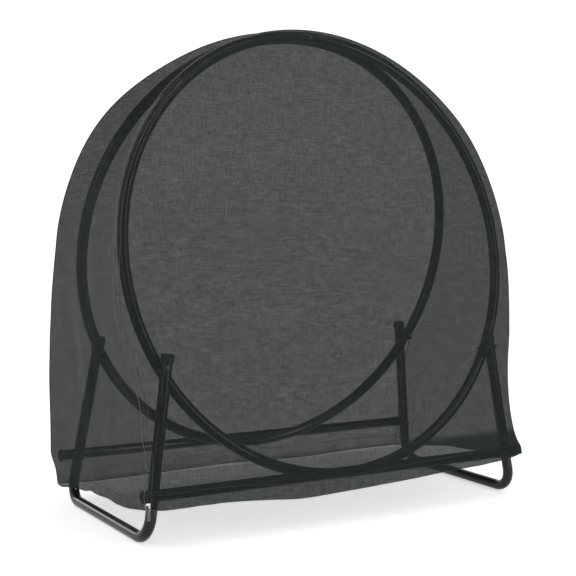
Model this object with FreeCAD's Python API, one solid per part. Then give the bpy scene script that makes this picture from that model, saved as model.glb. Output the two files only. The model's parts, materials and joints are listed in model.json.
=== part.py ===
"""Firewood log rack: two leaning steel hoops on a bolted base, under a zipped cloth cover.

Frame: origin on the floor in the middle of the rack, +X to the right as seen from the front,
+Y to the back, +Z up. All sizes are in millimetres.
"""
import FreeCAD, Part
import math
import os
from FreeCAD import Vector

# ---------------------------------------------------------------- driving dimensions
TUBE_OD = 24.0                 # every hoop, leg and rail is drawn from one tube
TUBE_WALL = 1.5
HOOP_OD = 1016.0               # a 40 inch hoop, over the outside of the tube
HOOP_BOTTOM = (203.5, 101.0)   # y and z of the hoop's centre line at its lowest point
HOOP_TOP_Y = 19.0              # y of the centre line at the top: the hoops lean together
RAIL_Z = 108.0
RAIL_LEFT_X = -499.5           # both rails sit 13 mm to the left of the middle
RAIL_RIGHT_X = 474.0
LEG_FOOT_X = 482.3             # x of the foot bar's centre line
LEG_LEAN_X = 0.1505            # inward lean in x for each millimetre of height
LEG_BEND_RADIUS = 46.0         # centre-line radius between foot bar and upright
LEG_TOP_Z = 383.5
LEG_BOLT_Z = 352.0             # where each upright crosses its hoop
FOOT_FLAT = 0.3                # flat worn under each foot bar, so that it stands on a face
SEAM_TURN = 62.0               # degrees; keeps the seam of a round section away from its holes
TOUCH_GAP = 0.15               # between tubes that are bolted side by side
RAIL_BOLT_INSET = 2.0          # the bolt sits this far inside the upright's centre line
BOLT_SLACK = 1.0               # a head or washer on a leaning tube stands a little off it

BOLT_D = 6.0
HOLE_D = 6.4
HEAD_D = 13.0
HEAD_H = 3.5
WASHER_D = 14.0
WASHER_H = 1.6
NUT_ACROSS_FLATS = 10.0
NUT_H = 5.0
THREAD_BEYOND_NUT = 1.0
SCREW_D = 4.0
SCREW_HEAD_D = 8.0
SCREW_HEAD_H = 2.4
SCREW_LENGTH = 6.0
PLUG_FLANGE = 5.0
PLUG_OD = 27.0
PLUG_DEPTH = 18.0
CAP_WALL = 2.2
CAP_LENGTH = 18.0
SPACER_D = 16.0
SWAGE_LENGTH = 34.0            # length of the reduced end inside the next hoop section

CLOTH = 1.5                    # thickness of the cover's panels
COVER_HALF_WIDTH = 540.0       # at the spring line of its arch
COVER_FOOT_HALF_WIDTH = 512.5  # from COVER_TAPER_Z down to the hem
COVER_TAPER_Z = 300.0
COVER_TOP_Z = 1097.0
HEM_FRONT_Z = 84.0             # the hem runs lower at the back than at the front
HEM_REAR_Z = 33.0
HEM_DEPTH = 25.0
HEM_THICKNESS = 1.0
FACE_TOP_Y = 38.0              # y of the front panel's outer face at the top
FACE_KNEE = (199.0, 386.0)     # y and z where the panel bends over the tops of the legs
FACE_RAIL = (247.0, 108.0)     # y and z of the same face in front of the rail
REAR_TUCK = 0.60               # the rear panel's foot is tucked in by this much
WELT_WIDTH = 4.0               # the taped seam stands this far out round each panel
WELT_THICKNESS = 4.0
ZIP_WIDTH = 12.0
ZIP_INSET = 3.0
ZIP_THICKNESS = 1.2
ZIP_TOP_Z = 960.0
SLIDER_SIZE = (11.0, 5.0, 15.0)
SLIDER_GAP = 0.4
SLIDER_RISE = 3.0              # height of the slider's lower end above the hem
PULL_SIZE = (6.0, 1.6, 28.0)

# ---------------------------------------------------------------- worked out from them
TUBE_R = TUBE_OD / 2
BORE_R = TUBE_R - TUBE_WALL
HOOP_R = HOOP_OD / 2 - TUBE_R
PITCH = TUBE_OD + TOUCH_GAP    # between the centre lines of two tubes bolted together
LEAN = math.asin((HOOP_BOTTOM[0] - HOOP_TOP_Y) / (2 * HOOP_R))
HOOP_CENTRE_Y = (HOOP_BOTTOM[0] + HOOP_TOP_Y) / 2
HOOP_CENTRE_Z = HOOP_BOTTOM[1] + HOOP_R * math.cos(LEAN)
HOOP_TOP_Z = HOOP_CENTRE_Z + HOOP_R * math.cos(LEAN)
RAIL_Y = HOOP_BOTTOM[0] + math.sqrt(PITCH ** 2 - (RAIL_Z - HOOP_BOTTOM[1]) ** 2)
FOOT_Z = TUBE_R - FOOT_FLAT
LEG_PITCH_AT_HOOP = PITCH + 0.6   # the two tubes cross at an angle and just clear each other


def hoop_y(z):
    """Distance of the hoop's plane from the middle at height z."""
    return HOOP_CENTRE_Y - (z - HOOP_CENTRE_Z) * math.tan(LEAN)


LEG_Y_AT_RAIL = RAIL_Y - PITCH
LEG_Y_AT_BOLT = hoop_y(LEG_BOLT_Z) + LEG_PITCH_AT_HOOP / math.cos(LEAN)
LEG_LEAN_Y = (LEG_Y_AT_RAIL - LEG_Y_AT_BOLT) / (LEG_BOLT_Z - RAIL_Z)


def leg_x(z):
    return LEG_FOOT_X - LEG_LEAN_X * (z - FOOT_Z)


def leg_y(z):
    return LEG_Y_AT_RAIL - LEG_LEAN_Y * (z - RAIL_Z)


PARTS = {}


def keep(name, *solids):
    """Hold a node's solids until everything is written at the end."""
    PARTS[name] = solids[0] if len(solids) == 1 else Part.makeCompound(list(solids))


# ---------------------------------------------------------------- shapes used again and again
def disc(centre, axis, radius):
    """Round face; its seam is turned away from the sides where holes are drilled."""
    circle = Part.Wire(Part.Circle(Vector(0, 0, 0), Vector(0, 0, 1), radius).toShape())
    turn = FreeCAD.Rotation(Vector(0, 0, 1), axis).multiply(FreeCAD.Rotation(Vector(0, 0, 1), SEAM_TURN))
    circle.Placement = FreeCAD.Placement(centre, turn)
    return Part.Face(circle)


def ring(centre, axis, outer, inner):
    """The tube's section: a disc with a round hole."""
    return disc(centre, axis, outer).cut(disc(centre, axis, inner))


def rod(start, axis, radius, length):
    return Part.makeCylinder(radius, length, start, axis)


def box(low, high):
    size = [b - a for a, b in zip(low, high)]
    return Part.makeBox(size[0], size[1], size[2], Vector(*low))


def bent_tube(points, bend_radius):
    """Hollow tube through the points, with the same round bend at every inner point."""
    pieces = []
    start = points[0]
    for before, corner, after in zip(points, points[1:], points[2:]):
        back = (before - corner).normalize()
        ahead = (after - corner).normalize()
        half = back.getAngle(ahead) / 2
        reach = bend_radius / math.tan(half)
        centre = corner + (back + ahead).normalize() * (bend_radius / math.sin(half))
        entry = corner + back * reach
        pieces.append(straight_tube(start, entry))
        normal = back.cross(ahead).normalize()
        section = ring(entry, back * -1, TUBE_R, BORE_R)
        turn = math.degrees(math.pi - 2 * half)
        pieces.append(section.revolve(centre, normal * -1, turn))
        start = corner + ahead * reach
    pieces.append(straight_tube(start, points[-1]))
    return pieces[0].multiFuse(pieces[1:]).removeSplitter()


def straight_tube(start, end):
    return ring(start, end - start, TUBE_R, BORE_R).extrude(end - start)


def drill(solid, point, axis, diameter=HOLE_D, reach=70.0):
    """A round hole right through, centred on the point."""
    half = Vector(axis).normalize() * reach
    return solid.cut(rod(point - half, axis, diameter / 2, 2 * reach))


def hexagon_prism(base, axis, across_flats, height):
    corner_r = across_flats / math.sqrt(3)
    corners = []
    for step in range(7):
        angle = math.radians(60 * step)
        corners.append(Vector(corner_r * math.cos(angle), corner_r * math.sin(angle), 0))
    prism = Part.Face(Part.makePolygon(corners)).extrude(Vector(0, 0, height))
    turn = FreeCAD.Rotation(Vector(0, 0, 1), axis)
    prism.Placement = FreeCAD.Placement(base, turn)
    return prism


def bolt(seat, axis, grip):
    """Round-headed bolt: the seat is the point under its head, the axis points into the work."""
    axis = Vector(axis).normalize()
    shank = rod(seat, axis, BOLT_D / 2, grip + WASHER_H + NUT_H + THREAD_BEYOND_NUT)
    head = rod(seat - axis * HEAD_H, axis, HEAD_D / 2, HEAD_H)
    rim = [edge for edge in head.Edges if edge.CenterOfMass.distanceToPoint(seat - axis * HEAD_H) < 0.1]
    return head.makeFillet(HEAD_H * 0.6, rim).fuse(shank).removeSplitter()


def washer(seat, axis, grip):
    axis = Vector(axis).normalize()
    base = seat + axis * grip
    return ring(base, axis, WASHER_D / 2, HOLE_D / 2).extrude(axis * WASHER_H)


def nut(seat, axis, grip):
    axis = Vector(axis).normalize()
    base = seat + axis * (grip + WASHER_H)
    body = hexagon_prism(base, axis, NUT_ACROSS_FLATS, NUT_H)
    return body.cut(rod(base, axis, BOLT_D / 2, NUT_H))


def keep_fasteners(name, places):
    """Bolts, washers and nuts of one kind of joint, each kind in a node of its own."""
    keep(name + "_bolts", *[bolt(*place) for place in places])
    keep(name + "_washers", *[washer(*place) for place in places])
    keep(name + "_nuts", *[nut(*place) for place in places])


# ---------------------------------------------------------------- where the bolts go
FACES = {"front": -1, "rear": 1}       # sign of y
SIDES = {"left": -1, "right": 1}       # sign of x


def hoop_point(face, angle):
    """Point on a hoop's centre line; the angle starts at +X and turns up over the top."""
    across = HOOP_R * math.cos(angle)
    up = HOOP_R * math.sin(angle)
    y = HOOP_CENTRE_Y - up * math.sin(LEAN)
    return Vector(across, face * y, HOOP_CENTRE_Z + up * math.cos(LEAN))


def hoop_normal(face):
    """Unit vector square to a hoop's plane, pointing out of the rack."""
    return Vector(0, face * math.cos(LEAN), math.sin(LEAN))


LEG_BOLT_ANGLE = math.asin((LEG_BOLT_Z - HOOP_CENTRE_Z) / (HOOP_R * math.cos(LEAN)))


def leg_bolt(face, side):
    """Seat, axis and grip of the bolt through an upright and its hoop."""
    angle = LEG_BOLT_ANGLE if side > 0 else math.pi - LEG_BOLT_ANGLE
    out = hoop_normal(face)
    seat = hoop_point(face, angle) + out * (LEG_PITCH_AT_HOOP + TUBE_R + BOLT_SLACK)
    return seat, out * -1, LEG_PITCH_AT_HOOP + TUBE_OD + BOLT_SLACK


def rail_bolt(face, side):
    """Seat, axis and grip of the bolt through a rail and an upright."""
    x = side * (leg_x(RAIL_Z) - RAIL_BOLT_INSET)
    seat = Vector(x, face * (RAIL_Y + TUBE_R), RAIL_Z)
    return seat, Vector(0, -face, 0), PITCH + TUBE_OD + BOLT_SLACK


def hoop_foot_bolt(face):
    """Seat, axis and grip of the bolt through a rail and the bottom of its hoop."""
    rail = Vector(0, face * RAIL_Y, RAIL_Z)
    hoop = Vector(0, face * HOOP_BOTTOM[0], HOOP_BOTTOM[1])
    inward = (hoop - rail).normalize()
    return rail - inward * TUBE_R, inward, PITCH + TUBE_OD


def hoop_top_bolt():
    """Seat, axis and grip of the one bolt that ties the tops of the two hoops."""
    seat = Vector(0, -HOOP_TOP_Y - TUBE_R, HOOP_TOP_Z)
    return seat, Vector(0, 1, 0), 2 * (HOOP_TOP_Y + TUBE_R)


# ---------------------------------------------------------------- hoops
SECTION_NAMES = ["top", "left", "bottom", "right"]     # in turning order from 45 degrees
SWAGE_ANGLE = SWAGE_LENGTH / HOOP_R
SHOULDER_ANGLE = 8.0 / HOOP_R


def hoop_sweep(face, start, turn, outer, inner):
    """Part of a hoop's ring, from a start angle through a turn, both in radians."""
    point = hoop_point(face, start)
    centre = Vector(0, face * HOOP_CENTRE_Y, HOOP_CENTRE_Z)
    along = point - centre
    normal = hoop_normal(face)
    section = ring(point, along.cross(normal), outer, inner)
    axis = normal if face < 0 else normal * -1
    return section.revolve(centre, axis, math.degrees(turn))


def hoop_section(face, start):
    """Quarter of a hoop: a plain tube with a reduced end that enters the next section."""
    quarter = math.pi / 2
    insert_r = BORE_R - 0.05
    tube = hoop_sweep(face, start, quarter, TUBE_R, BORE_R)
    shoulder = hoop_sweep(face, start + quarter - 2 * SHOULDER_ANGLE, SHOULDER_ANGLE,
                          BORE_R + 0.5, insert_r - TUBE_WALL)
    insert = hoop_sweep(face, start + quarter - 2 * SHOULDER_ANGLE,
                        2 * SHOULDER_ANGLE + SWAGE_ANGLE, insert_r, insert_r - TUBE_WALL)
    return tube.fuse(shoulder).fuse(insert).removeSplitter()


def joint_screw(face, angle):
    """Pan-head screw that locks a reduced end, on the side that faces the logs."""
    inward = hoop_normal(face) * -1
    seat = hoop_point(face, angle + SWAGE_ANGLE / 2) + inward * TUBE_R
    head = rod(seat, inward, SCREW_HEAD_D / 2, SCREW_HEAD_H)
    rim = [edge for edge in head.Edges
           if edge.CenterOfMass.distanceToPoint(seat + inward * SCREW_HEAD_H) < 0.1]
    shank = rod(seat, inward * -1, SCREW_D / 2, SCREW_LENGTH)
    return head.makeFillet(SCREW_HEAD_H * 0.5, rim).fuse(shank).removeSplitter()


def make_hoops():
    for face_name, face in FACES.items():
        screws = []
        for index, section_name in enumerate(SECTION_NAMES):
            start = math.pi / 4 + index * math.pi / 2
            section = hoop_section(face, start)
            for joint in (start, start + math.pi / 2):
                point = hoop_point(face, joint + SWAGE_ANGLE / 2)
                inward = hoop_normal(face) * -1
                section = section.cut(rod(point, inward, SCREW_D / 2, TUBE_R + 2))
            if section_name == "top":
                seat, axis, _ = hoop_top_bolt()
            elif section_name == "bottom":
                seat, axis, _ = hoop_foot_bolt(face)
            else:
                seat, axis, _ = leg_bolt(face, SIDES[section_name])
            section = drill(section, seat, axis)
            keep(face_name + "_hoop_" + section_name, section)
            screws.append(joint_screw(face, start))
        keep(face_name + "_hoop_screws", *screws)


# ---------------------------------------------------------------- legs
def leg_axis(face):
    """Direction of an upright on the right-hand side, pointing up."""
    return Vector(-LEG_LEAN_X, -face * LEG_LEAN_Y, 1).normalize()


def make_legs():
    below_floor = box((-700, -400, -50), (700, 400, 0))
    for side_name, side in SIDES.items():
        corners = []
        for face, z in ((-1, LEG_TOP_Z), (-1, FOOT_Z), (1, FOOT_Z), (1, LEG_TOP_Z)):
            corners.append(Vector(side * leg_x(z), face * leg_y(z), z))
        leg = bent_tube(corners, LEG_BEND_RADIUS).cut(below_floor)
        caps = []
        for face in FACES.values():
            for seat, axis, _ in (leg_bolt(face, side), rail_bolt(face, side)):
                leg = drill(leg, seat, axis, reach=60.0)
            caps.append(leg_cap(face, side))
        keep(side_name + "_leg", leg)
        keep(side_name + "_leg_caps", *caps)


def leg_cap(face, side):
    """Soft cap pulled over the open top of an upright."""
    top = Vector(side * leg_x(LEG_TOP_Z), face * leg_y(LEG_TOP_Z), LEG_TOP_Z)
    up = leg_axis(face)
    up = Vector(side * up.x, up.y, up.z)
    outer_r = TUBE_R + CAP_WALL
    outer = rod(top - up * (CAP_LENGTH - CAP_WALL), up, outer_r, CAP_LENGTH)
    rim = [edge for edge in outer.Edges if edge.CenterOfMass.distanceToPoint(top + up * CAP_WALL) < 0.1]
    outer = outer.makeFillet(CAP_WALL * 0.9, rim)
    return outer.cut(rod(top - up * CAP_LENGTH, up, TUBE_R, CAP_LENGTH))


# ---------------------------------------------------------------- rails
def make_rails():
    for face_name, face in FACES.items():
        left = Vector(RAIL_LEFT_X, face * RAIL_Y, RAIL_Z)
        right = Vector(RAIL_RIGHT_X, face * RAIL_Y, RAIL_Z)
        rail = straight_tube(left, right)
        plugs = []
        for side, end in ((-1, left), (1, right)):
            seat, axis, _ = rail_bolt(face, side)
            rail = drill(rail, seat, axis)
            plugs.append(drill(rail_plug(end, side), seat, axis))
        seat, axis, _ = hoop_foot_bolt(face)
        rail = drill(rail, seat, axis)
        keep(face_name + "_rail", rail)
        keep(face_name + "_rail_plugs", *plugs)


def rail_plug(end, side):
    """Domed plug pressed into the end of a rail, hollow towards the rail."""
    out = Vector(side, 0, 0)
    flange = rod(end, out, PLUG_OD / 2, PLUG_FLANGE)
    rim = [edge for edge in flange.Edges
           if edge.CenterOfMass.distanceToPoint(end + out * PLUG_FLANGE) < 0.1]
    flange = flange.makeFillet(PLUG_FLANGE * 0.75, rim)
    sleeve = ring(end - out * PLUG_DEPTH, out, BORE_R, BORE_R - TUBE_WALL).extrude(out * PLUG_DEPTH)
    return flange.fuse(sleeve).removeSplitter()


# ---------------------------------------------------------------- fasteners
def make_fasteners():
    corners = [(face, side) for face in FACES.values() for side in SIDES.values()]
    keep_fasteners("leg_to_hoop", [leg_bolt(face, side) for face, side in corners])
    keep_fasteners("leg_to_rail", [rail_bolt(face, side) for face, side in corners])
    keep_fasteners("hoop_to_rail", [hoop_foot_bolt(face) for face in FACES.values()])
    top = hoop_top_bolt()
    keep("hoop_top_bolt", bolt(*top))
    keep("hoop_top_washer", washer(*top))
    keep("hoop_top_nut", nut(*top))
    half_gap = HOOP_TOP_Y - TUBE_R
    spacer = ring(Vector(0, -half_gap, HOOP_TOP_Z), Vector(0, 1, 0), SPACER_D / 2, HOLE_D / 2)
    keep("hoop_top_spacer", spacer.extrude(Vector(0, 2 * half_gap, 0)))


# ---------------------------------------------------------------- cover
FACE_SLOPE = (FACE_RAIL[0] - FACE_KNEE[0]) / (FACE_KNEE[1] - FACE_RAIL[1])
FACE_ANGLE = math.atan(FACE_SLOPE)
BELOW_HEM = 5.0                # the cover's outlines run down to here and are then cut at the hem
HEM_Y = 250.0                  # half the distance over which the hem falls from front to rear
ZIP_INNER_X = ZIP_INSET + ZIP_WIDTH - COVER_FOOT_HALF_WIDTH


def face_y(z):
    """Distance from the middle of the lower, flat part of a panel's outer face."""
    return FACE_RAIL[0] + (FACE_RAIL[1] - z) * FACE_SLOPE


def arch(offset, bottom):
    """Outline of the cover seen from the front, grown by an offset, pulled along y."""
    spring = Vector(0, 0, HOOP_CENTRE_Z)
    wide = COVER_HALF_WIDTH + offset
    foot = COVER_FOOT_HALF_WIDTH + offset
    rise = COVER_TOP_Z - HOOP_CENTRE_Z + offset
    oval = Part.Ellipse(Vector(wide, 0, HOOP_CENTRE_Z), Vector(0, 0, HOOP_CENTRE_Z + rise), spring)
    top = Part.Arc(oval, 0, math.pi).toShape()
    if top.BoundBox.ZMin < HOOP_CENTRE_Z - 1:
        top = Part.Arc(oval, math.pi, 2 * math.pi).toShape()
    corners = [Vector(-wide, 0, HOOP_CENTRE_Z), Vector(-foot, 0, COVER_TAPER_Z),
               Vector(-foot, 0, bottom), Vector(foot, 0, bottom),
               Vector(foot, 0, COVER_TAPER_Z), Vector(wide, 0, HOOP_CENTRE_Z)]
    sides = Part.makePolygon(corners)
    outline = Part.Wire(Part.__sortEdges__([top] + sides.Edges))
    prism = Part.Face(outline).extrude(Vector(0, 800, 0))
    prism.translate(Vector(0, -400, 0))
    return prism


def wedge(offset, bottom):
    """Outline of the cover seen from the side, grown by an offset, pulled along x."""
    top_z = COVER_TOP_Z + 60
    upper_slope = (FACE_KNEE[0] - FACE_TOP_Y) / (COVER_TOP_Z - FACE_KNEE[1])
    top = FACE_TOP_Y + offset - upper_slope * 60
    knee = FACE_KNEE[0] + offset
    foot = face_y(bottom) + offset
    points = [Vector(-700, -top, top_z), Vector(-700, -knee, FACE_KNEE[1]), Vector(-700, -foot, bottom),
              Vector(-700, foot - REAR_TUCK, bottom), Vector(-700, knee, FACE_KNEE[1]),
              Vector(-700, top, top_z)]
    points.append(points[0])
    return Part.Face(Part.makePolygon(points)).extrude(Vector(1400, 0, 0))


def half_space(face):
    """Everything on one side of the middle plane."""
    return box((-700, 0, -10), (700, 450, 1300)) if face > 0 else box((-700, -450, -10), (700, 0, 1300))


def above_hem(rise):
    """Everything above the sloping line of the hem, or a rise above it."""
    middle = (HEM_FRONT_Z + HEM_REAR_Z) / 2 + rise
    slope = (HEM_REAR_Z - HEM_FRONT_Z) / (2 * HEM_Y)
    reach = 450
    points = [Vector(-700, -reach, middle - slope * reach), Vector(-700, reach, middle + slope * reach),
              Vector(-700, reach, 1300), Vector(-700, -reach, 1300)]
    points.append(points[0])
    return Part.Face(Part.makePolygon(points)).extrude(Vector(1400, 0, 0))


def make_cover():
    outline = arch(0, BELOW_HEM)
    body = wedge(0, BELOW_HEM)
    inside = wedge(-CLOTH, BELOW_HEM)
    above = above_hem(0)
    skin = body.cut(inside).common(outline).common(above)
    for face_name, face in FACES.items():
        keep("cover_" + face_name + "_panel", skin.common(half_space(face)))
    band = outline.cut(arch(-CLOTH, BELOW_HEM - 1)).common(inside)
    keep("cover_gusset", band.common(above))
    rim = arch(WELT_WIDTH, BELOW_HEM).cut(outline)
    seam = body.cut(wedge(-WELT_THICKNESS, BELOW_HEM)).common(rim).common(above)
    for face_name, face in FACES.items():
        keep("cover_" + face_name + "_welt", seam.common(half_space(face)))
    make_hem()
    make_zipper(outline)


def make_hem():
    """Turned-up hem round the foot of the cover, on its outside."""
    level = above_hem(0).cut(above_hem(HEM_DEPTH))
    for face_name, face in FACES.items():
        strip = wedge(HEM_THICKNESS, BELOW_HEM).cut(wedge(0, BELOW_HEM))
        strip = strip.common(arch(0, BELOW_HEM)).common(level).common(half_space(face))
        if face < 0:
            strip = strip.common(box((ZIP_INNER_X + 1, -450, 0), (700, 0, 200)))
        keep("cover_" + face_name + "_hem", strip)
    sides = arch(HEM_THICKNESS, BELOW_HEM).cut(arch(0, BELOW_HEM)).common(level)
    sides = sides.common(wedge(-WELT_THICKNESS, BELOW_HEM))
    keep("cover_left_hem", sides.common(box((-700, -450, 0), (0, 450, 200))))
    keep("cover_right_hem", sides.common(box((0, -450, 0), (700, 450, 200))))


def zip_zone():
    """Strip beside the left edge of the front panel, where the zipper runs."""
    zone = arch(-ZIP_INSET, BELOW_HEM).cut(arch(-ZIP_INSET - ZIP_WIDTH, BELOW_HEM - 1))
    return zone.common(box((-700, -400, BELOW_HEM), (-100, 0, ZIP_TOP_Z)))


def make_zipper(outline):
    """Zipper tape on the front panel, its slider at the hem and the pull hanging from it."""
    tape = wedge(ZIP_THICKNESS, BELOW_HEM).cut(wedge(0, BELOW_HEM))
    tape = tape.common(zip_zone()).common(outline).common(half_space(-1))
    keep("cover_zipper_tape", tape.common(above_hem(0)))
    wide, deep, tall = SLIDER_SIZE
    x = -COVER_FOOT_HALF_WIDTH + ZIP_INSET + ZIP_WIDTH / 2
    z = HEM_FRONT_Z + SLIDER_RISE
    origin = Vector(x, -face_y(z) - ZIP_THICKNESS - SLIDER_GAP, z)
    slider = box((-wide / 2, -deep, 0), (wide / 2, 0, tall))
    slider = slider.makeFillet(1.2, slider.Edges)
    post_x = PULL_SIZE[0] / 2 - 1.0
    crown = box((-post_x + 0.3, -deep - 4.5, tall / 2 - 2), (post_x - 0.3, -deep + 1, tall / 2 + 2))
    pin_centre = Vector(0, -deep - 2.6, tall / 2)
    slider = slider.fuse(crown).removeSplitter()
    tilt = FreeCAD.Rotation(Vector(1, 0, 0), -math.degrees(FACE_ANGLE))
    place = FreeCAD.Placement(origin, tilt)
    slider.Placement = place
    keep("zipper_slider", slider)
    keep("zipper_pull", zipper_pull(place.multVec(pin_centre)))


def zipper_pull(pin):
    """Flat tab with a slot at the top that hangs over the slider's crown."""
    wide, thick, tall = PULL_SIZE
    tab = box((-wide / 2, -thick / 2, -tall), (wide / 2, thick / 2, -4.0))
    hole = rod(Vector(0, -thick, -tall + 4.5), Vector(0, 1, 0), 2.0, 2 * thick)
    tab = tab.cut(hole)
    arms = []
    for side in (-1, 1):
        inner = side * (PULL_SIZE[0] / 2 - 1.0)
        outer = side * PULL_SIZE[0] / 2
        low_x, high_x = min(inner, outer), max(inner, outer)
        arms.append(box((low_x, -thick / 2, -5.0), (high_x, thick / 2, 1.0)))
    tab = tab.multiFuse(arms).removeSplitter()
    tab.translate(pin)
    return tab


# ---------------------------------------------------------------- build and write
make_hoops()
make_legs()
make_rails()
make_fasteners()
make_cover()

os.makedirs("parts", exist_ok=True)
for name, shape in PARTS.items():
    if not shape.isValid():
        print("not valid:", name)
    shape.exportStep("parts/" + name + ".step")
print(len(PARTS), "sub-parts written")
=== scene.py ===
"""Looks of the firewood rack: painted tubes, bolts and caps, and its see-through cloth cover.

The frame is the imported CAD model, in metres: +X to the right, +Y to the back, +Z up. The sizes of
the cover are in millimetres, and MM turns them into metres.
"""
import json
import math

import bpy
import numpy as np
from mathutils import Matrix, Vector


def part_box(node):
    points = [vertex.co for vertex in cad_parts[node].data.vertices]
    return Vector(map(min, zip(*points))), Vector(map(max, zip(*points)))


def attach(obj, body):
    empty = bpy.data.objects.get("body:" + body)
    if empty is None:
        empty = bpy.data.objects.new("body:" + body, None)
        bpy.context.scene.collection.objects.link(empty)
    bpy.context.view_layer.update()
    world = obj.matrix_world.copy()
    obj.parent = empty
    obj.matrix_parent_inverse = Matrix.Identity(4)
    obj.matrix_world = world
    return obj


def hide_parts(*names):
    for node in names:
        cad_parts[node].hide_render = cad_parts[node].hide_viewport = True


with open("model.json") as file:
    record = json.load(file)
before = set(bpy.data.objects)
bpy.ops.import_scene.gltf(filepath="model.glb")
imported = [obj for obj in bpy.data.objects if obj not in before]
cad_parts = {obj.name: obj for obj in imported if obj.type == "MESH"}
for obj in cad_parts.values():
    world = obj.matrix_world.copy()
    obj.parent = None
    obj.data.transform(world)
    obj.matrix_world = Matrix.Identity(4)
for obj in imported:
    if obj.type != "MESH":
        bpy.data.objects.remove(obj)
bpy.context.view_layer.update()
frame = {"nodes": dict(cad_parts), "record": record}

MM = 0.001
WHITE = (1.0, 1.0, 1.0, 1.0)

# ---------------------------------------------------------------- hoops, read from the frame
RAIL_LOW, RAIL_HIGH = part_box("front_rail")
HOOP_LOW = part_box("front_hoop_bottom")[0] / MM
HOOP_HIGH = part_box("front_hoop_top")[1] / MM
TUBE_R = (RAIL_HIGH.z - RAIL_LOW.z) / 2 / MM
HOOP_BOTTOM_Y = -HOOP_LOW.y - TUBE_R   # distances from the middle of the rack, so above zero
HOOP_TOP_Y = -HOOP_HIGH.y + TUBE_R
HOOP_BOTTOM_Z = HOOP_LOW.z + TUBE_R
HOOP_TOP_Z = HOOP_HIGH.z - TUBE_R
HOOP_MID_Z = (HOOP_BOTTOM_Z + HOOP_TOP_Z) / 2
HOOP_SLOPE = (HOOP_BOTTOM_Y - HOOP_TOP_Y) / (HOOP_TOP_Z - HOOP_BOTTOM_Z)

# ---------------------------------------------------------------- mesh steps of the cover
PANEL_COLUMNS = 150
PANEL_ROWS = 130
GUSSET_COLUMNS = 56
RIM_STEPS = 420
SIDE_STEPS = int(RIM_STEPS * 0.36)     # steps of the rim that are one side of a panel's grid
CURVE_STEPS = 24                       # steps between two given points of a smooth curve
HEM_STEPS = 200                        # points on the curve of the gusset's hem
TUBE_SIDES = 8
THREAD_SIDES = 6

# ---------------------------------------------------------------- outlines of the cover, x and z
ARCH_FRONT = (-3.0, 520.0, 501.0)      # x of the middle, half-width and rise of the panel's arch
ARCH_REAR = (-10.0, 529.0, 502.3)
ARCH_DEGREES = range(176, 3, -4)
FULL_FRONT = (35.0, 14.0, 5.0)         # where it is fuller than an ellipse: degrees, width, amount
FULL_REAR = (146.0, 16.0, 13.0)

FRONT_LEFT_SIDE = [(-505, 88), (-509, 112), (-504, 140), (-499, 185), (-504, 235), (-502, 285),
                   (-513, 340), (-529, 415), (-536, 470), (-532, 545)]
FRONT_RIGHT_SIDE = [(515, 545), (500, 450), (478, 373), (463, 305), (457, 225), (462, 165),
                    (470, 138), (479, 121), (480, 106)]
REAR_LEFT_SIDE = [(-493, 33), (-502, 74), (-514, 108), (-516, 135), (-519, 192), (-524, 269),
                  (-528, 344), (-533, 418), (-538, 491)]
REAR_RIGHT_SIDE = [(517, 520), (508, 450), (492, 373), (482, 300), (479, 225), (481, 160),
                   (485, 110), (485, 34)]
FRONT_HEM = [(-505, 88), (-464, 84), (-340, 84), (-230, 77), (-140, 70), (-17, 74), (200, 84),
             (390, 93), (446, 99), (480, 106)]
REAR_HEM = [(-493, 33), (-420, 29), (-250, 32), (-60, 35), (150, 31), (330, 34), (485, 34)]

# hems of the gusset: share of the way from the front panel to the rear one, and z
LEFT_HEM = [(0.0, 88), (0.06, 82), (0.16, 73), (0.27, 65), (0.4, 62), (0.54, 61), (0.66, 53),
            (0.78, 45), (0.88, 38), (0.96, 31), (1.0, 33)]
RIGHT_HEM = [(0.0, 106), (0.1, 96), (0.3, 84), (0.5, 76), (0.75, 56), (1.0, 34)]
HEM_REACH = 0.11                       # share of the rim over which the hem's curve fades out

# ---------------------------------------------------------------- how far a panel stands out
EDGE_STAND_OFF = 17.3                  # from the hoop's middle plane to the plane of the edge
PANEL_STAND_OFF = 1.5                  # from that to the cloth, before its folds
REAR_STAND_OFF = 5.0                   # the rear panel hangs this much further out
BULGE = [(60, 26.0), (108, 27.5), (250, 29.5), (386, 32.0), (480, 27.5), (588, 20.0), (740, 12.0),
         (900, 6.0), (1092, 0.0)]      # z, and how far the middle stands in front of the edge plane
EDGE_SHARE = [(60, 0.98), (130, 0.95), (250, 0.72), (386, 0.6), (480, 0.3), (588, 0.0)]
LEG_TOP_X = 430.0                      # the legs push the cloth out up to here
LEG_TOP_FADE = (386.0, 588.0)          # z of their tops, and where they push no more

# each fade below is a pair: where it is 0 and where it is 1
SAG = 5.0                              # the middle of a panel sags inward by this
SAG_FOOT = (100.0, 350.0)
SAG_HEAD = (700.0, 400.0)
SLACK = 25.0                           # the rear panel's left side hangs out by this
SLACK_LEFT = (-150.0, -500.0)
SLACK_FOOT = (70.0, 330.0)
SLACK_HEAD = (1000.0, 650.0)

# folds below the leg tops: x at the top, lean, width, height
LEG_FOLDS = ((-392, -0.10, 16, 2.6), (-350, 0.22, 22, 2.0), (-455, 0.05, 13, 2.2),
             (388, 0.12, 17, 2.4), (340, -0.25, 24, 1.8), (-300, 0.5, 30, 1.5))
LEG_FOLD_FADE = (380.0, 320.0)
HEM_WAVES = ((1.1, 61.0, 0.0), (0.66, 27.0, 2.1))      # height, millimetres a radian, phase
HEM_WAVE_FADE = (330.0, 80.0)
SOFT_WAVE = (1.4, 95.0, 310.0)         # height, millimetres a radian along x and along z
SOFT_WAVE_FADE = (900.0, 600.0)
REAR_PHASE = 1.7                       # so the rear panel's waves aren't the front one's

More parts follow.
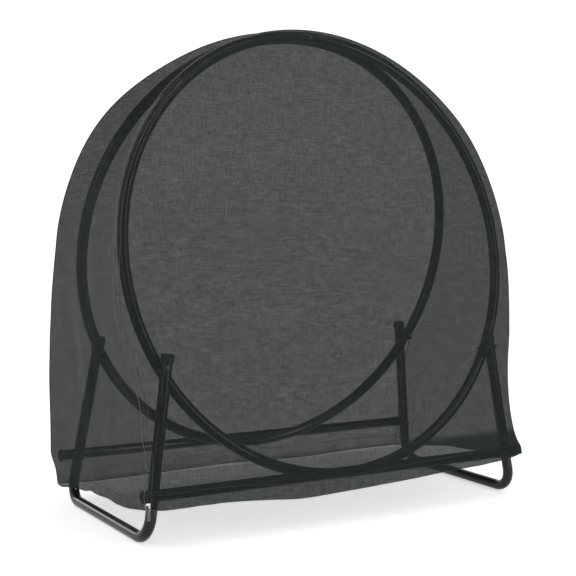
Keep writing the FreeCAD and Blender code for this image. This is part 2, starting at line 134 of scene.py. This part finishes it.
GUSSET_DIP = 4.0                       # the gusset dips between its seams by this
GUSSET_FULL_WIDTH = 400.0              # where it is this wide; less where it is narrower
GUSSET_RIPPLES = ((2.2, 34.0, 260.0, 0.0), (1.4, 15.0, -190.0, 1.0))   # as SOFT_WAVE, and phase

# ---------------------------------------------------------------- seams, hems and zipper
PIPING_R = 1.0
HEM_ROWS = 5                           # rows that the turned-up hem covers, 25 to 30 mm
HEM_LIFT = 0.8                         # the turned-up layer lies this far outside the cloth
LIFT_BACK = np.array([0.0, HEM_LIFT, 0.0])
LIFT_RIGHT = np.array([HEM_LIFT, 0.0, 0.0])
FOLD_R = 0.8
SEAM_R = 0.45
ZIP_FROM_EDGE = 3.0
ZIP_WIDTH = 11.0
ZIP_COLUMNS = 5
ZIP_TAPE_LIFT = 0.7
ZIP_THREAD_LIFT = np.array([0.0, 0.5, 0.0])
ZIP_THREADS = (("zipper_stitching", 1, 0.4), ("zipper_coil", 4, 1.0))  # name, column, radius

# ---------------------------------------------------------------- colours and cloth
CLOTH_COLOUR = (0.0070, 0.0122, 0.0112)
CLOTH_COVER = 0.772                    # share of the light that one layer of cloth stops
FOOT_PAINTED_SHADE = 0.155                     # painted shade: the foot of the cloth stops this much more light, darkening the floor seen under the cover
GUSSET_COVER = 0.045                   # and so does the gusset, above its foot
HEM_COVER = 0.04                       # the turned-up layer, which lies over the cloth
CLOTH_THREADS = 5.2                    # millimetres from thread to thread
TAPE_THREADS = 3.2
SLUB_GAIN = 1.1
CLOUD_GAIN = 0.12
WEAVE_GAIN = 0.12
PAINTED_SHADE_SLOPE = 0.26                      # the painted shade of the dense foot is higher at the front than at the back
PAINTED_SHADE_FADE = (0.108, 0.092)             # metres, where it starts going down, and where it is full

BINDING_COLOUR = (0.006, 0.0065, 0.007)
ZIP_TAPE_COLOUR = (0.012, 0.013, 0.0135)
PAINT_COLOURS = (0.003, 0.0032, 0.0035), (0.006, 0.006, 0.006)         # clean and dusty
PLASTIC_COLOURS = (0.009, 0.009, 0.0095), (0.02, 0.02, 0.02)
ZINC_COLOUR = (0.05, 0.051, 0.054)
NICKEL_COLOUR = (0.10, 0.101, 0.104)
FLOOR_COLOURS = (0.98, 0.98, 0.98), (0.99, 0.99, 0.99)

# ---------------------------------------------------------------- stage and camera, in metres
FLOOR_REACH = 80.0
FLOOR_GLOW = 0.55                      # lifts the shadows, as the photo has none
DOME = {"From Min": 0.22, "From Max": 0.7, "To Min": 1.25, "To Max": 0.5}  # light against height
STRIPS = (                             # name, place, aim, length, width, watts
    ("left_strip", (-3.2, -1.2, 1.3), (0.0, 0.0, 0.6), 0.3, 2.4, 140.0),
    ("front_strip", (1.4, -3.2, 1.3), (0.0, 0.0, 0.6), 0.3, 2.4, 230.0),
    ("top_strip", (0.4, -1.2, 3.0), (0.0, 0.0, 0.9), 2.6, 0.25, 120.0),
    ("back_strip", (-1.7, 2.7, 1.0), (-0.5, 0.0, 0.0), 1.4, 0.5, 10.0))
CAMERA_PLACE = (-1.4833, -2.3614, 0.6869)
CAMERA_AZIMUTH = 31.585                # degrees
CAMERA_PITCH = 3.880
CAMERA_ROLL = 0.786
CAMERA_LENS = 74.53                    # millimetres, on a sensor of 36
SENSOR_WIDTH = 36.0


# ---------------------------------------------------------------- curves
def smooth(points, count):
    """Evenly spaced points on a smooth curve through the given ones (centripetal Catmull-Rom)."""
    p = np.array(points, float)
    p = np.vstack([2 * p[0] - p[1], p, 2 * p[-1] - p[-2]])
    runs = [catmull_rom(*p[i:i + 4]) for i in range(len(p) - 3)]
    return even(np.vstack(runs + [p[-2:-1]]), count)


def catmull_rom(before, start, end, after):
    """One run of the curve, from start up to end but without it."""
    knots = [0.0]
    for a, b in ((before, start), (start, end), (end, after)):
        knots.append(knots[-1] + max(np.linalg.norm(b - a), 1e-6) ** 0.5)
    k0, k1, k2, k3 = knots
    t = np.linspace(k1, k2, CURVE_STEPS, endpoint=False)[:, None]

    def mix(a, b, low, high):
        return (high - t) / (high - low) * a + (t - low) / (high - low) * b

    a1, a2, a3 = mix(before, start, k0, k1), mix(start, end, k1, k2), mix(end, after, k2, k3)
    return mix(mix(a1, a2, k0, k2), mix(a2, a3, k1, k3), k1, k2)


def even(fine, count):
    """The same curve, cut into even steps."""
    length = np.r_[0, np.cumsum(np.linalg.norm(np.diff(fine, axis=0), axis=1))]
    want = np.linspace(0, length[-1], count)
    return np.stack([np.interp(want, length, fine[:, k]) for k in range(fine.shape[1])], axis=1)


def ease(t):
    t = np.clip(t, 0, 1)
    return t * t * (3 - 2 * t)


def fade(value, none, full):
    """Goes smoothly from 0 at none to 1 at full, which may lie on either side of it."""
    return ease((value - none) / (full - none))


def read(table, value):
    """Value of a table of pairs, in straight lines between them."""
    places, amounts = zip(*table)
    return np.interp(value, places, amounts)


# ---------------------------------------------------------------- materials
class Nodes:
    """Short way to build a node material."""

    def __init__(self, name):
        self.material = bpy.data.materials.new(name)
        self.material.use_nodes = True
        self.tree = self.material.node_tree
        self.shader = self.tree.nodes["Principled BSDF"]
        self.place = self.tree.nodes.new("ShaderNodeTexCoord").outputs["Object"]

    def add(self, kind, inputs, **settings):
        node = self.tree.nodes.new(kind)
        for key, value in settings.items():
            setattr(node, key, value)
        for key, value in inputs.items():
            self.set(node.inputs[key], value)
        return node

    def set(self, socket, value):
        if isinstance(value, bpy.types.NodeSocket):
            self.tree.links.new(value, socket)
        else:
            socket.default_value = value

    def stretched(self, *scale):
        inputs = {"Vector": self.place, "Scale": scale}
        return self.add("ShaderNodeMapping", inputs).outputs["Vector"]

    def noise(self, scale, detail, vector=None, roughness=0.5):
        inputs = {"Vector": vector or self.place, "Scale": scale, "Detail": detail,
                  "Roughness": roughness}
        return self.add("ShaderNodeTexNoise", inputs).outputs["Fac"]

    def threads(self, spacing, direction):
        """Rows of woven thread, spacing millimetres apart, running square to a direction."""
        radians = 20.0                 # phase of the wave texture per unit of its vector
        inputs = {"Vector": self.place, "Scale": 2 * math.pi / (radians * spacing * MM),
                  "Distortion": 0.6, "Detail": 1.0, "Detail Scale": 1.5}
        return self.add("ShaderNodeTexWave", inputs, wave_type="BANDS",
                        bands_direction=direction).outputs["Fac"]

    def ramp(self, value, low, high, low_colour, high_colour):
        node = self.add("ShaderNodeValToRGB", {"Fac": value})
        for stop, position, colour in zip(node.color_ramp.elements, (low, high),
                                          (low_colour, high_colour)):
            stop.position = position
            stop.color = (*colour, 1.0)
        return node.outputs["Color"]

    def maths(self, operation, a, b):
        return self.add("ShaderNodeMath", {0: a, 1: b}, operation=operation).outputs["Value"]

    def centred(self, value, middle, gain):
        return self.maths("MULTIPLY", self.maths("SUBTRACT", value, middle), gain)

    def between(self, value, low, high, start=0.0, end=1.0):
        """From low to high as the value goes from start to end."""
        inputs = {"Value": value, "From Min": start, "From Max": end, "To Min": low,
                  "To Max": high}
        return self.add("ShaderNodeMapRange", inputs).outputs["Result"]

    def bump(self, height, strength, distance):
        inputs = {"Height": height, "Strength": strength, "Distance": distance}
        self.finish(Normal=self.add("ShaderNodeBump", inputs).outputs["Normal"])

    def finish(self, **values):
        for key, value in values.items():
            self.set(self.shader.inputs[key.replace("_", " ")], value)
        return self.material


def tint(colour, factor):
    return [channel * factor for channel in colour]


def cloth_material(name, alpha, across="X", painted_shade=0.0):
    """Open plain weave: two sets of threads, slubs, and light through the open weave. Its foot
    stops more of the light by the given amount, as painted shade of the floor under the cover."""
    nodes = Nodes(name)
    warp = nodes.threads(CLOTH_THREADS, across)
    weft = nodes.threads(CLOTH_THREADS, "Z")
    weave = nodes.maths("MULTIPLY", warp, weft)
    slub_wide = nodes.noise(60.0, 4.0, nodes.stretched(0.6, 0.6, 4.5))
    slub_tall = nodes.noise(60.0, 4.0, nodes.stretched(4.5, 4.5, 0.5))
    slubs = nodes.maths("ADD", nodes.centred(slub_wide, 0.5, SLUB_GAIN),
                        nodes.centred(slub_tall, 0.5, SLUB_GAIN))
    cloud = nodes.centred(nodes.noise(4.0, 3.0), 0.5, CLOUD_GAIN)
    openness = nodes.maths("ADD", nodes.maths("ADD", slubs, cloud),
                           nodes.centred(weave, 0.25, WEAVE_GAIN))
    base = nodes.ramp(nodes.maths("ADD", openness, 0.5), 0.2, 0.8,
                      tint(CLOTH_COLOUR, 1.4), tint(CLOTH_COLOUR, 0.6))
    place = nodes.add("ShaderNodeSeparateXYZ", {"Vector": nodes.place}).outputs
    height = nodes.maths("ADD", place["Z"], nodes.maths("MULTIPLY", place["Y"], PAINTED_SHADE_SLOPE))
    # painted shade: the cloth grows denser towards its foot, darkening the floor seen under the
    # cover
    gaps_and_painted_shade = nodes.between(height, 1 - alpha, 1 - alpha - painted_shade, *PAINTED_SHADE_FADE)
    through = nodes.maths("MULTIPLY", gaps_and_painted_shade, nodes.maths("ADD", openness, 1.0))
    nodes.bump(weave, 0.35, 0.0008)
    return nodes.finish(Base_Color=base, Roughness=0.72, Specular_IOR_Level=0.05,
                        Alpha=nodes.maths("SUBTRACT", 1.0, through))


def tape_material(name, alpha, colour):
    """Dense ribbed tape or twisted thread."""
    nodes = Nodes(name)
    ribs = nodes.threads(TAPE_THREADS, "Z")
    fuzz = nodes.noise(500.0, 4.0)
    tone = nodes.maths("ADD", nodes.maths("MULTIPLY", ribs, 0.5),
                       nodes.maths("MULTIPLY", fuzz, 0.5))
    base = nodes.ramp(tone, 0.2, 0.8, tint(colour, 0.6), tint(colour, 1.6))
    nodes.bump(tone, 0.5, 0.0005)
    return nodes.finish(Base_Color=base, Roughness=0.8, Alpha=alpha)


def paint_material(name):
    """Glossy black powder coat: fine orange peel, and a little dust and scuffing."""
    nodes = Nodes(name)
    peel = nodes.noise(420.0, 2.0)
    dust = nodes.noise(9.0, 5.0)
    scuff = nodes.noise(150.0, 5.0, nodes.stretched(1.0, 1.0, 0.3), 0.7)
    base = nodes.ramp(dust, 0.35, 0.75, *PAINT_COLOURS)
    rough = nodes.maths("ADD", nodes.between(scuff, 0.1, 0.24), nodes.between(dust, -0.04, 0.08))
    nodes.bump(peel, 0.06, 0.0006)
    return nodes.finish(Base_Color=base, Roughness=rough, Specular_IOR_Level=0.26)


def plastic_material(name):
    """Soft black plastic, grained and worn paler in places."""
    nodes = Nodes(name)
    grain = nodes.noise(900.0, 3.0)
    wear = nodes.noise(40.0, 4.0)
    base = nodes.ramp(wear, 0.3, 0.8, *PLASTIC_COLOURS)
    nodes.bump(grain, 0.25, 0.0004)
    return nodes.finish(Base_Color=base, Roughness=nodes.between(wear, 0.5, 0.68))


def metal_material(name, colour, low, high):
    """Plated steel, brushed and stained; low and high are its roughness."""
    nodes = Nodes(name)
    brushed = nodes.noise(350.0, 4.0, nodes.stretched(1.0, 1.0, 0.15))
    stain = nodes.noise(60.0, 4.0)
    base = nodes.ramp(stain, 0.3, 0.75, tint(colour, 0.75), colour)
    nodes.bump(brushed, 0.15, 0.0003)
    return nodes.finish(Base_Color=base, Metallic=1.0,
                        Roughness=nodes.between(brushed, low, high))


MATERIALS = {
    "tube_paint": paint_material("black_powder_coat"),
    "end_caps": plastic_material("black_soft_plastic"),
    "fasteners": metal_material("black_zinc_steel", ZINC_COLOUR, 0.25, 0.42),
    "zipper_metal": metal_material("nickel_plate", NICKEL_COLOUR, 0.22, 0.36),
    # painted shade at the feet of the panel and gusset cloths
    "cover_cloth": cloth_material("mesh_cloth_panel", CLOTH_COVER, painted_shade=FOOT_PAINTED_SHADE),
    "gusset_cloth": cloth_material("mesh_cloth_gusset", CLOTH_COVER + GUSSET_COVER, across="Y",
                                   painted_shade=FOOT_PAINTED_SHADE - GUSSET_COVER),
    "hem_cloth": cloth_material("mesh_cloth_hem", HEM_COVER),
    "cover_binding": tape_material("black_binding", 1.0, BINDING_COLOUR),
    "zipper_tape": tape_material("black_zipper_tape", 0.10, ZIP_TAPE_COLOUR),
    "thread": tape_material("black_thread", 0.5, BINDING_COLOUR),
}


def dress_frame():
    """Every CAD node gets its slot's material; those that are replaced are hidden."""
    for sub_part in frame["record"]["subparts"]:
        node = frame["nodes"][sub_part["node"]]
        node.data.materials.clear()
        node.data.materials.append(MATERIALS[sub_part["material_slot"]])


# ---------------------------------------------------------------- pieces of the cover
def cover_piece(name, points, faces, material):
    """Piece that rides on the cover, from points in millimetres."""
    mesh = bpy.data.meshes.new(name)
    mesh.from_pydata((points.reshape(-1, 3) * MM).tolist(), [], faces)
    mesh.update()
    mesh.polygons.foreach_set("use_smooth", [True] * len(mesh.polygons))
    mesh.materials.append(MATERIALS[material])
    piece = bpy.data.objects.new(name, mesh)
    bpy.context.scene.collection.objects.link(piece)
    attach(piece, "cover")
    return piece


def grid_mesh(name, grid, material):
    """Sheet from a grid of points, shape (rows, columns, 3)."""
    rows, columns = grid.shape[:2]
    index = np.arange(rows * columns).reshape(rows, columns)
    quads = np.stack([index[:-1, :-1], index[:-1, 1:], index[1:, 1:], index[1:, :-1]], -1)
    return cover_piece(name, grid, quads.reshape(-1, 4).tolist(), material)


def tube_mesh(name, path, radius, material, sides=TUBE_SIDES):
    """Round tube along a path, closed at both ends."""
    along = np.gradient(path, axis=0)
    along /= np.linalg.norm(along, axis=1)[:, None]
    side = np.cross(along, np.array([0.0, 1.0, 0.0]))
    weak = np.linalg.norm(side, axis=1) < 1e-3         # where the path runs along y
    side[weak] = np.cross(along[weak], np.array([0.0, 0.0, 1.0]))
    side /= np.linalg.norm(side, axis=1)[:, None]
    up = np.cross(side, along)
    turn = np.linspace(0, 2 * math.pi, sides, endpoint=False)
    ring = (side[:, None] * np.cos(turn)[None, :, None]
            + up[:, None] * np.sin(turn)[None, :, None])
    faces = []
    for start in range(0, (len(path) - 1) * sides, sides):
        for j in range(sides):
            k = (j + 1) % sides
            faces.append((start + j, start + k, start + sides + k, start + sides + j))
    faces.append(tuple(reversed(range(sides))))
    faces.append(tuple((len(path) - 1) * sides + j for j in range(sides)))
    return cover_piece(name, path[:, None] + radius * ring, faces, material)


def hoop_plane(z):
    """Distance of a hoop's middle plane from the middle of the rack."""
    return HOOP_TOP_Y + (HOOP_TOP_Z - z) * HOOP_SLOPE


def panel_depth(x, z, rear):
    """Distance of a panel from the middle of the rack."""
    middle, half, rise = ARCH_REAR if rear else ARCH_FRONT
    across = np.abs(x - middle)
    upper = np.clip((z - HOOP_MID_Z) / rise, 0, 0.999)
    reach = half * np.sqrt(1 - upper ** 2)
    start = LEG_TOP_X * (1 - fade(z, *LEG_TOP_FADE))
    outward = np.clip((across - start) / np.maximum(reach - start, 1), 0, 1)
    share = 1 - (1 - read(EDGE_SHARE, z)) * ease(outward)
    sag = (SAG * fade(z, *SAG_FOOT) * fade(z, *SAG_HEAD)
           * np.clip(1 - (across / LEG_TOP_X) ** 2, 0, 1))
    depth = (hoop_plane(z) + EDGE_STAND_OFF + read(BULGE, z) * share - sag
             + PANEL_STAND_OFF + folds(x, z, rear))
    if rear:
        depth += REAR_STAND_OFF
        depth += SLACK * fade(x, *SLACK_LEFT) * fade(z, *SLACK_FOOT) * fade(z, *SLACK_HEAD)
    return depth


def folds(x, z, rear):
    """Shallow folds that fall from the tops of the legs, waves along the hem and a soft one."""
    phase = REAR_PHASE if rear else 0.0
    leg = sum(height * np.exp(-((x - spot - lean * (z - LEG_FOLD_FADE[0])) / width) ** 2)
              for spot, lean, width, height in LEG_FOLDS)
    hem = sum(height * np.sin(x / length + start + phase) for height, length, start in HEM_WAVES)
    height, along, up = SOFT_WAVE
    soft = height * np.sin(x / along + z / up + phase)
    return (leg * fade(z, *LEG_FOLD_FADE) + hem * fade(z, *HEM_WAVE_FADE)
            + soft * fade(z, *SOFT_WAVE_FADE))


def on_panel(flat, rear, lift=0.0):
    """Points of a panel in space, from x and z; lift takes them off its outside."""
    x, z = flat[..., 0], flat[..., 1]
    depth = panel_depth(x, z, rear) + lift
    return np.stack([x, depth if rear else -depth, z], -1)


def rim(left, right, arch, full):
    """Outline of a panel without its hem, from the left foot over the top to the right foot."""
    middle, half, rise = arch
    place, width, amount = full
    top = []
    for degrees in ARCH_DEGREES:
        angle = math.radians(degrees)
        more = amount * math.exp(-((degrees - place) / width) ** 2)
        top.append((middle + (half + more) * math.cos(angle),
                    HOOP_MID_Z + (rise + more) * math.sin(angle)))
    return smooth(left + top + right, RIM_STEPS)


def coons(bottom, top, left, right):
    """Fills the four sides with an even grid."""
    v = np.linspace(0, 1, len(left))[:, None, None]
    u = np.linspace(0, 1, len(bottom))[None, :, None]
    ruled = (1 - v) * bottom[None] + v * top[None] + (1 - u) * left[:, None] + u * right[:, None]
    corners = ((1 - u) * (1 - v) * bottom[0] + u * (1 - v) * bottom[-1]
               + (1 - u) * v * top[0] + u * v * top[-1])
    return ruled - corners


def make_panel(name, outline, hem, rear, node):
    """Front or rear panel; returns the piece and its grid of points."""
    last = RIM_STEPS - 1 - SIDE_STEPS
    left = even(outline[:SIDE_STEPS + 1], PANEL_ROWS)
    right = even(outline[last:], PANEL_ROWS)[::-1]
    top = even(outline[SIDE_STEPS:last + 1], PANEL_COLUMNS)
    grid = on_panel(coons(smooth(hem, PANEL_COLUMNS), top, left, right), rear)
    piece = grid_mesh(name, grid, "cover_cloth")
    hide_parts(node)
    return piece, grid


def make_gusset(front, rear):
    """Band between the two rims, with its own hems; returns the piece and its grid of points."""
    s = np.linspace(0, 1, GUSSET_COLUMNS)
    t = np.linspace(0, 1, RIM_STEPS)
    band = front[:, None] * (1 - s[None, :, None]) + rear[:, None] * s[None, :, None]
    for hem, end, distance in ((LEFT_HEM, 0, t), (RIGHT_HEM, -1, 1 - t)):
        curve = smooth(hem, HEM_STEPS)
        rise = np.interp(s, curve[:, 0], curve[:, 1]) - band[end, :, 2]
        near = np.clip(1 - distance / HEM_REACH, 0, 1) ** 2
        band[:, :, 2] += near[:, None] * rise[None, :]
    along = np.gradient(front, axis=0)
    outward = np.stack([-along[:, 2], np.zeros(RIM_STEPS), along[:, 0]], -1)
    outward /= np.linalg.norm(outward, axis=1)[:, None]
    width = np.linalg.norm(rear - front, axis=1)
    belly = np.sin(math.pi * s)[None, :] * np.clip(width / GUSSET_FULL_WIDTH, 0, 1)[:, None]
    y, z = band[..., 1], band[..., 2]
    ripple = sum(height * np.sin(y / back + z / up + start)
                 for height, back, up, start in GUSSET_RIPPLES)
    band += outward[:, None] * (belly * (ripple - GUSSET_DIP))[..., None]
    piece = grid_mesh("cloth_gusset", band, "gusset_cloth")
    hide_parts("cover_gusset")
    return piece, band


def make_piping(side, path):
    """Piped seam round a panel."""
    piping = tube_mesh(side + "_piping", path, PIPING_R, "cover_binding")
    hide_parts("cover_" + side + "_welt")
    return piping


def make_hem(side, strip):
    """Turned-up hem: its second layer of cloth, the fold at its foot and the seam at its top."""
    turned = grid_mesh(side + "_turned_hem", strip, "hem_cloth")
    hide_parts("cover_" + side + "_hem")
    fold = tube_mesh(side + "_hem_fold", strip[0], FOLD_R, "thread")
    seam = tube_mesh(side + "_hem_seam", strip[-1], SEAM_R, "thread",
                     THREAD_SIDES)
    return [turned, fold, seam]


def make_zipper(outline):
    """Zipper up the left edge of the front panel: its tape, a row of stitching and the coil."""
    path = outline[:SIDE_STEPS]
    along = np.gradient(path, axis=0)
    inward = np.stack([along[:, 1], -along[:, 0]], -1)
    inward /= np.linalg.norm(inward, axis=1)[:, None]
    strip = [on_panel(path + inward * (ZIP_FROM_EDGE + share * ZIP_WIDTH), False, ZIP_TAPE_LIFT)
             for share in np.linspace(0, 1, ZIP_COLUMNS)]
    tape = grid_mesh("zipper_tape", np.stack(strip, 1), "zipper_tape")
    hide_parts("cover_zipper_tape")
    pieces = [tape]
    for name, column, radius in ZIP_THREADS:
        pieces.append(tube_mesh(name, strip[column] - ZIP_THREAD_LIFT, radius, "thread",
                                THREAD_SIDES))
    return pieces


# ---------------------------------------------------------------- stage, lights and camera
def make_stage():
    """Pale floor, with a faint glow."""
    mesh = bpy.data.meshes.new("floor")
    corners = [(x * FLOOR_REACH, y * FLOOR_REACH, 0)
               for x, y in ((-1, -1), (1, -1), (1, 1), (-1, 1))]
    mesh.from_pydata(corners, [], [(0, 1, 2, 3)])
    nodes = Nodes("pale_floor")
    base = nodes.ramp(nodes.noise(30.0, 4.0), 0.3, 0.7, *FLOOR_COLOURS)
    mesh.materials.append(nodes.finish(Base_Color=base, Roughness=0.9, Emission_Color=WHITE,
                                       Emission_Strength=FLOOR_GLOW))
    floor = bpy.data.objects.new("floor", mesh)
    bpy.context.scene.collection.objects.link(floor)


def make_lights():
    """White dome, brightest at the horizon, and strips that only make streaks on the paint."""
    world = bpy.data.worlds.new("studio")
    bpy.context.scene.world = world
    world.use_nodes = True
    tree = world.node_tree
    direction = tree.nodes.new("ShaderNodeTexCoord").outputs["Generated"]
    split = tree.nodes.new("ShaderNodeSeparateXYZ")
    dome = tree.nodes.new("ShaderNodeMapRange")
    for key, value in DOME.items():
        dome.inputs[key].default_value = value
    background = tree.nodes["Background"]
    background.inputs["Color"].default_value = WHITE
    tree.links.new(direction, split.inputs["Vector"])
    tree.links.new(split.outputs["Z"], dome.inputs["Value"])
    tree.links.new(dome.outputs["Result"], background.inputs["Strength"])
    for name, place, aim, length, width, power in STRIPS:
        data = bpy.data.lights.new(name, "AREA")
        data.energy = power
        data.shape = "RECTANGLE"
        data.size = length
        data.size_y = width
        light = bpy.data.objects.new(name, data)
        light.location = place
        light.visible_diffuse = False
        light.rotation_euler = (Vector(aim) - Vector(place)).to_track_quat("-Z", "Y").to_euler()
        bpy.context.scene.collection.objects.link(light)


def make_camera():
    """Camera at the photo's place and angle."""
    azimuth = math.radians(CAMERA_AZIMUTH)
    pitch = math.radians(CAMERA_PITCH)
    roll = math.radians(CAMERA_ROLL)
    ahead = Vector((math.sin(azimuth) * math.cos(pitch), math.cos(azimuth) * math.cos(pitch),
                    -math.sin(pitch)))
    level = Vector((math.cos(azimuth), -math.sin(azimuth), 0.0))
    upright = level.cross(ahead)
    right = level * math.cos(roll) + upright * math.sin(roll)
    up = upright * math.cos(roll) - level * math.sin(roll)
    data = bpy.data.cameras.new("camera")
    data.lens = CAMERA_LENS
    data.sensor_width = SENSOR_WIDTH
    camera = bpy.data.objects.new("camera", data)
    turn = Matrix((right, up, -ahead)).transposed()
    camera.matrix_world = Matrix.Translation(CAMERA_PLACE) @ turn.to_4x4()
    bpy.context.scene.collection.objects.link(camera)
    bpy.context.scene.camera = camera


# ---------------------------------------------------------------- everything in its place
make_camera()
make_stage()
make_lights()
dress_frame()

front_outline = rim(FRONT_LEFT_SIDE, FRONT_RIGHT_SIDE, ARCH_FRONT, FULL_FRONT)
rear_outline = rim(REAR_LEFT_SIDE, REAR_RIGHT_SIDE, ARCH_REAR, FULL_REAR)
front_panel, front_grid = make_panel("cloth_front_panel", front_outline, FRONT_HEM, False,
                                     "cover_front_panel")
rear_panel, rear_grid = make_panel("cloth_rear_panel", rear_outline, REAR_HEM, True,
                                   "cover_rear_panel")
front_rim = on_panel(front_outline, False)
rear_rim = on_panel(rear_outline, True)
gusset, gusset_grid = make_gusset(front_rim, rear_rim)
front_edge = [make_piping("front", front_rim)]
rear_edge = [make_piping("rear", rear_rim)]
front_edge += make_hem("front", front_grid[:HEM_ROWS] - LIFT_BACK)
rear_edge += make_hem("rear", rear_grid[:HEM_ROWS] + LIFT_BACK)
left_edge = make_hem("left", gusset_grid[:HEM_ROWS] - LIFT_RIGHT)
right_edge = make_hem("right", gusset_grid[-HEM_ROWS:][::-1] + LIFT_RIGHT)
zipper = make_zipper(front_outline)

bpy.context.scene.view_settings.view_transform = "Standard"
bpy.context.view_layer.update()
